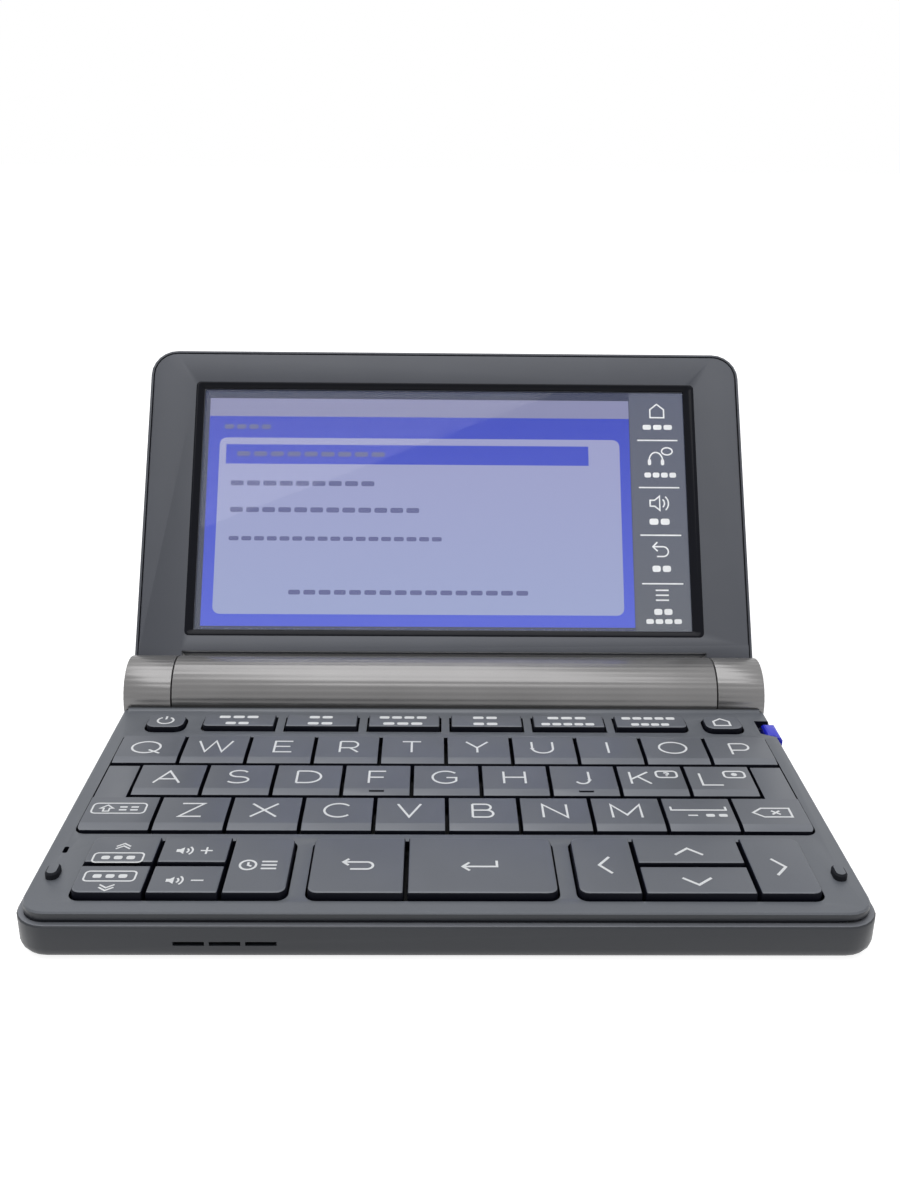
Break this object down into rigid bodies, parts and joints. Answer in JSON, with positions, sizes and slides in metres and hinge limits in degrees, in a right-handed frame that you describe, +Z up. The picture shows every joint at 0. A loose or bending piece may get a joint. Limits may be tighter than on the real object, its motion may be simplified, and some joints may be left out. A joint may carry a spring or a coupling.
{
  "type": "electronic dictionary",
  "caption": "Clamshell pocket electronic dictionary, open: keyboard base with a ribbed battery barrel as its hinge, a lid with a wide touch display, and a stylus in the right side.",
  "frame": {"origin": "centre of the whole part's bounding box in plan, on the surface that the four feet stand on, with the lid open at 123.5 degrees", "axes": "+X to the user's right along the hinge, +Y from the user towards the hinge, +Z up"},
  "size_m": [0.15, 0.1414, 0.0818],
  "materials": {
    "case_plastic": "satin, dark grey",
    "deck_plastic": "satin, fine metallic grey",
    "key_plastic": "matte grey",
    "lid_plastic": "satin, fine metallic grey",
    "barrel_silver": "glossy silver, ribbed",
    "cell_steel": "plated can; aluminium gives the real cells' mass",
    "board_green": "green board",
    "dome_rubber": "soft silicone",
    "stylus_blue": "glossy translucent blue",
    "display_glass": "clear, polished",
    "lcd_screen": "lit display, lavender",
    "rim_black": "polished black rim",
    "foot_rubber": "soft black rubber",
    "legend_white": "printed, near-white",
    "plated_metal": "bright plated metal"
  },
  "bodies": {
    "base": {"bottom_case": "case_plastic", "keyboard_deck": "deck_plastic", "hinge_barrel": "barrel_silver", "aa_batteries": "cell_steel", "main_board": "board_green", "keypad_sheet": "dome_rubber"},
    "lid": {"lid_back_cover": "lid_plastic", "lid_bezel": "lid_plastic", "display_glass": "display_glass", "lcd_panel": "lcd_screen"},
    "stylus": {"stylus": "stylus_blue"},
    "battery_cover": {"battery_cover": "case_plastic"},
    "key_q": {"key_q": "key_plastic"},
    "key_w": {"key_w": "key_plastic"},
    "key_e": {"key_e": "key_plastic"},
    "key_r": {"key_r": "key_plastic"},
    "key_t": {"key_t": "key_plastic"},
    "key_y": {"key_y": "key_plastic"},
    "key_u": {"key_u": "key_plastic"},
    "key_i": {"key_i": "key_plastic"},
    "key_o": {"key_o": "key_plastic"},
    "key_p": {"key_p": "key_plastic"},
    "key_a": {"key_a": "key_plastic"},
    "key_s": {"key_s": "key_plastic"},
    "key_d": {"key_d": "key_plastic"},
    "key_f": {"key_f": "key_plastic"},
    "key_g": {"key_g": "key_plastic"},
    "key_h": {"key_h": "key_plastic"},
    "key_j": {"key_j": "key_plastic"},
    "key_k": {"key_k": "key_plastic"},
    "key_l": {"key_l": "key_plastic"},
    "shift_key": {"shift_key": "key_plastic"},
    "key_z": {"key_z": "key_plastic"},
    "key_x": {"key_x": "key_plastic"},
    "key_c": {"key_c": "key_plastic"},
    "key_v": {"key_v": "key_plastic"},
    "key_b": {"key_b": "key_plastic"},
    "key_n": {"key_n": "key_plastic"},
    "key_m": {"key_m": "key_plastic"},
    "space_key": {"space_key": "key_plastic"},
    "delete_key": {"delete_key": "key_plastic"},
    "function_key_1": {"function_key_1": "key_plastic"},
    "function_key_2": {"function_key_2": "key_plastic"},
    "function_key_3": {"function_key_3": "key_plastic"},
    "function_key_4": {"function_key_4": "key_plastic"},
    "function_key_5": {"function_key_5": "key_plastic"},
    "function_key_6": {"function_key_6": "key_plastic"},
    "power_key": {"power_key": "key_plastic"},
    "home_key": {"home_key": "key_plastic"},
    "previous_key": {"previous_key": "key_plastic"},
    "next_key": {"next_key": "key_plastic"},
    "volume_up_key": {"volume_up_key": "key_plastic"},
    "volume_down_key": {"volume_down_key": "key_plastic"},
    "history_key": {"history_key": "key_plastic"},
    "back_key": {"back_key": "key_plastic"},
    "enter_key": {"enter_key": "key_plastic"},
    "left_key": {"left_key": "key_plastic"},
    "up_key": {"up_key": "key_plastic"},
    "down_key": {"down_key": "key_plastic"},
    "right_key": {"right_key": "key_plastic"}
  },
  "joints": [
    {"name": "lid_hinge", "type": "hinge", "parent": "base", "child": "lid", "pos_m": [0, 0.0165, 0.0095], "axis": [1, 0, 0], "range_deg": [-26, 123.5]},
    {"name": "stylus_slide", "type": "slide", "parent": "base", "child": "stylus", "axis": [1, 0, 0], "range_m": [0, 0.006]},
    {"name": "battery_cover_slide", "type": "slide", "parent": "base", "child": "battery_cover", "axis": [0, 1, 0], "range_m": [0, 0.024]},
    {"name": "key_q_press", "type": "slide", "parent": "base", "child": "key_q", "axis": [0, 0, -1], "range_m": [0, 0.0008], "stiffness_N_per_m": 400, "springref_m": -0.0004, "deforming": ["keypad_sheet"]},
    {"name": "key_w_press", "type": "slide", "parent": "base", "child": "key_w", "axis": [0, 0, -1], "range_m": [0, 0.0008], "stiffness_N_per_m": 400, "springref_m": -0.0004, "deforming": ["keypad_sheet"]},
    {"name": "key_e_press", "type": "slide", "parent": "base", "child": "key_e", "axis": [0, 0, -1], "range_m": [0, 0.0008], "stiffness_N_per_m": 400, "springref_m": -0.0004, "deforming": ["keypad_sheet"]},
    {"name": "key_r_press", "type": "slide", "parent": "base", "child": "key_r", "axis": [0, 0, -1], "range_m": [0, 0.0008], "stiffness_N_per_m": 400, "springref_m": -0.0004, "deforming": ["keypad_sheet"]},
    {"name": "key_t_press", "type": "slide", "parent": "base", "child": "key_t", "axis": [0, 0, -1], "range_m": [0, 0.0008], "stiffness_N_per_m": 400, "springref_m": -0.0004, "deforming": ["keypad_sheet"]},
    {"name": "key_y_press", "type": "slide", "parent": "base", "child": "key_y", "axis": [0, 0, -1], "range_m": [0, 0.0008], "stiffness_N_per_m": 400, "springref_m": -0.0004, "deforming": ["keypad_sheet"]},
    {"name": "key_u_press", "type": "slide", "parent": "base", "child": "key_u", "axis": [0, 0, -1], "range_m": [0, 0.0008], "stiffness_N_per_m": 400, "springref_m": -0.0004, "deforming": ["keypad_sheet"]},
    {"name": "key_i_press", "type": "slide", "parent": "base", "child": "key_i", "axis": [0, 0, -1], "range_m": [0, 0.0008], "stiffness_N_per_m": 400, "springref_m": -0.0004, "deforming": ["keypad_sheet"]},
    {"name": "key_o_press", "type": "slide", "parent": "base", "child": "key_o", "axis": [0, 0, -1], "range_m": [0, 0.0008], "stiffness_N_per_m": 400, "springref_m": -0.0004, "deforming": ["keypad_sheet"]},
    {"name": "key_p_press", "type": "slide", "parent": "base", "child": "key_p", "axis": [0, 0, -1], "range_m": [0, 0.0008], "stiffness_N_per_m": 400, "springref_m": -0.0004, "deforming": ["keypad_sheet"]},
    {"name": "key_a_press", "type": "slide", "parent": "base", "child": "key_a", "axis": [0, 0, -1], "range_m": [0, 0.0008], "stiffness_N_per_m": 400, "springref_m": -0.0004, "deforming": ["keypad_sheet"]},
    {"name": "key_s_press", "type": "slide", "parent": "base", "child": "key_s", "axis": [0, 0, -1], "range_m": [0, 0.0008], "stiffness_N_per_m": 400, "springref_m": -0.0004, "deforming": ["keypad_sheet"]},
    {"name": "key_d_press", "type": "slide", "parent": "base", "child": "key_d", "axis": [0, 0, -1], "range_m": [0, 0.0008], "stiffness_N_per_m": 400, "springref_m": -0.0004, "deforming": ["keypad_sheet"]},
    {"name": "key_f_press", "type": "slide", "parent": "base", "child": "key_f", "axis": [0, 0, -1], "range_m": [0, 0.0008], "stiffness_N_per_m": 400, "springref_m": -0.0004, "deforming": ["keypad_sheet"]},
    {"name": "key_g_press", "type": "slide", "parent": "base", "child": "key_g", "axis": [0, 0, -1], "range_m": [0, 0.0008], "stiffness_N_per_m": 400, "springref_m": -0.0004, "deforming": ["keypad_sheet"]},
    {"name": "key_h_press", "type": "slide", "parent": "base", "child": "key_h", "axis": [0, 0, -1], "range_m": [0, 0.0008], "stiffness_N_per_m": 400, "springref_m": -0.0004, "deforming": ["keypad_sheet"]},
    {"name": "key_j_press", "type": "slide", "parent": "base", "child": "key_j", "axis": [0, 0, -1], "range_m": [0, 0.0008], "stiffness_N_per_m": 400, "springref_m": -0.0004, "deforming": ["keypad_sheet"]},
    {"name": "key_k_press", "type": "slide", "parent": "base", "child": "key_k", "axis": [0, 0, -1], "range_m": [0, 0.0008], "stiffness_N_per_m": 400, "springref_m": -0.0004, "deforming": ["keypad_sheet"]},
    {"name": "key_l_press", "type": "slide", "parent": "base", "child": "key_l", "axis": [0, 0, -1], "range_m": [0, 0.0008], "stiffness_N_per_m": 400, "springref_m": -0.0004, "deforming": ["keypad_sheet"]},
    {"name": "shift_key_press", "type": "slide", "parent": "base", "child": "shift_key", "axis": [0, 0, -1], "range_m": [0, 0.0008], "stiffness_N_per_m": 400, "springref_m": -0.0004, "deforming": ["keypad_sheet"]},
    {"name": "key_z_press", "type": "slide", "parent": "base", "child": "key_z", "axis": [0, 0, -1], "range_m": [0, 0.0008], "stiffness_N_per_m": 400, "springref_m": -0.0004, "deforming": ["keypad_sheet"]},
    {"name": "key_x_press", "type": "slide", "parent": "base", "child": "key_x", "axis": [0, 0, -1], "range_m": [0, 0.0008], "stiffness_N_per_m": 400, "springref_m": -0.0004, "deforming": ["keypad_sheet"]},
    {"name": "key_c_press", "type": "slide", "parent": "base", "child": "key_c", "axis": [0, 0, -1], "range_m": [0, 0.0008], "stiffness_N_per_m": 400, "springref_m": -0.0004, "deforming": ["keypad_sheet"]},
    {"name": "key_v_press", "type": "slide", "parent": "base", "child": "key_v", "axis": [0, 0, -1], "range_m": [0, 0.0008], "stiffness_N_per_m": 400, "springref_m": -0.0004, "deforming": ["keypad_sheet"]},
    {"name": "key_b_press", "type": "slide", "parent": "base", "child": "key_b", "axis": [0, 0, -1], "range_m": [0, 0.0008], "stiffness_N_per_m": 400, "springref_m": -0.0004, "deforming": ["keypad_sheet"]},
    {"name": "key_n_press", "type": "slide", "parent": "base", "child": "key_n", "axis": [0, 0, -1], "range_m": [0, 0.0008], "stiffness_N_per_m": 400, "springref_m": -0.0004, "deforming": ["keypad_sheet"]},
    {"name": "key_m_press", "type": "slide", "parent": "base", "child": "key_m", "axis": [0, 0, -1], "range_m": [0, 0.0008], "stiffness_N_per_m": 400, "springref_m": -0.0004, "deforming": ["keypad_sheet"]},
    {"name": "space_key_press", "type": "slide", "parent": "base", "child": "space_key", "axis": [0, 0, -1], "range_m": [0, 0.0008], "stiffness_N_per_m": 400, "springref_m": -0.0004, "deforming": ["keypad_sheet"]},
    {"name": "delete_key_press", "type": "slide", "parent": "base", "child": "delete_key", "axis": [0, 0, -1], "range_m": [0, 0.0008], "stiffness_N_per_m": 400, "springref_m": -0.0004, "deforming": ["keypad_sheet"]},
    {"name": "function_key_1_press", "type": "slide", "parent": "base", "child": "function_key_1", "axis": [0, 0, -1], "range_m": [0, 0.0008], "stiffness_N_per_m": 400, "springref_m": -0.0004, "deforming": ["keypad_sheet"]},
    {"name": "function_key_2_press", "type": "slide", "parent": "base", "child": "function_key_2", "axis": [0, 0, -1], "range_m": [0, 0.0008], "stiffness_N_per_m": 400, "springref_m": -0.0004, "deforming": ["keypad_sheet"]},
    {"name": "function_key_3_press", "type": "slide", "parent": "base", "child": "function_key_3", "axis": [0, 0, -1], "range_m": [0, 0.0008], "stiffness_N_per_m": 400, "springref_m": -0.0004, "deforming": ["keypad_sheet"]},
    {"name": "function_key_4_press", "type": "slide", "parent": "base", "child": "function_key_4", "axis": [0, 0, -1], "range_m": [0, 0.0008], "stiffness_N_per_m": 400, "springref_m": -0.0004, "deforming": ["keypad_sheet"]},
    {"name": "function_key_5_press", "type": "slide", "parent": "base", "child": "function_key_5", "axis": [0, 0, -1], "range_m": [0, 0.0008], "stiffness_N_per_m": 400, "springref_m": -0.0004, "deforming": ["keypad_sheet"]},
    {"name": "function_key_6_press", "type": "slide", "parent": "base", "child": "function_key_6", "axis": [0, 0, -1], "range_m": [0, 0.0008], "stiffness_N_per_m": 400, "springref_m": -0.0004, "deforming": ["keypad_sheet"]},
    {"name": "power_key_press", "type": "slide", "parent": "base", "child": "power_key", "axis": [0, 0, -1], "range_m": [0, 0.0008], "stiffness_N_per_m": 400, "springref_m": -0.0004, "deforming": ["keypad_sheet"]},
    {"name": "home_key_press", "type": "slide", "parent": "base", "child": "home_key", "axis": [0, 0, -1], "range_m": [0, 0.0008], "stiffness_N_per_m": 400, "springref_m": -0.0004, "deforming": ["keypad_sheet"]},
    {"name": "previous_key_press", "type": "slide", "parent": "base", "child": "previous_key", "axis": [0, 0, -1], "range_m": [0, 0.0008], "stiffness_N_per_m": 400, "springref_m": -0.0004, "deforming": ["keypad_sheet"]},
    {"name": "next_key_press", "type": "slide", "parent": "base", "child": "next_key", "axis": [0, 0, -1], "range_m": [0, 0.0008], "stiffness_N_per_m": 400, "springref_m": -0.0004, "deforming": ["keypad_sheet"]},
    {"name": "volume_up_key_press", "type": "slide", "parent": "base", "child": "volume_up_key", "axis": [0, 0, -1], "range_m": [0, 0.0008], "stiffness_N_per_m": 400, "springref_m": -0.0004, "deforming": ["keypad_sheet"]},
    {"name": "volume_down_key_press", "type": "slide", "parent": "base", "child": "volume_down_key", "axis": [0, 0, -1], "range_m": [0, 0.0008], "stiffness_N_per_m": 400, "springref_m": -0.0004, "deforming": ["keypad_sheet"]},
    {"name": "history_key_press", "type": "slide", "parent": "base", "child": "history_key", "axis": [0, 0, -1], "range_m": [0, 0.0008], "stiffness_N_per_m": 400, "springref_m": -0.0004, "deforming": ["keypad_sheet"]},
    {"name": "back_key_press", "type": "slide", "parent": "base", "child": "back_key", "axis": [0, 0, -1], "range_m": [0, 0.0008], "stiffness_N_per_m": 400, "springref_m": -0.0004, "deforming": ["keypad_sheet"]},
    {"name": "enter_key_press", "type": "slide", "parent": "base", "child": "enter_key", "axis": [0, 0, -1], "range_m": [0, 0.0008], "stiffness_N_per_m": 400, "springref_m": -0.0004, "deforming": ["keypad_sheet"]},
    {"name": "left_key_press", "type": "slide", "parent": "base", "child": "left_key", "axis": [0, 0, -1], "range_m": [0, 0.0008], "stiffness_N_per_m": 400, "springref_m": -0.0004, "deforming": ["keypad_sheet"]},
    {"name": "up_key_press", "type": "slide", "parent": "base", "child": "up_key", "axis": [0, 0, -1], "range_m": [0, 0.0008], "stiffness_N_per_m": 400, "springref_m": -0.0004, "deforming": ["keypad_sheet"]},
    {"name": "down_key_press", "type": "slide", "parent": "base", "child": "down_key", "axis": [0, 0, -1], "range_m": [0, 0.0008], "stiffness_N_per_m": 400, "springref_m": -0.0004, "deforming": ["keypad_sheet"]},
    {"name": "right_key_press", "type": "slide", "parent": "base", "child": "right_key", "axis": [0, 0, -1], "range_m": [0, 0.0008], "stiffness_N_per_m": 400, "springref_m": -0.0004, "deforming": ["keypad_sheet"]}
  ]
}
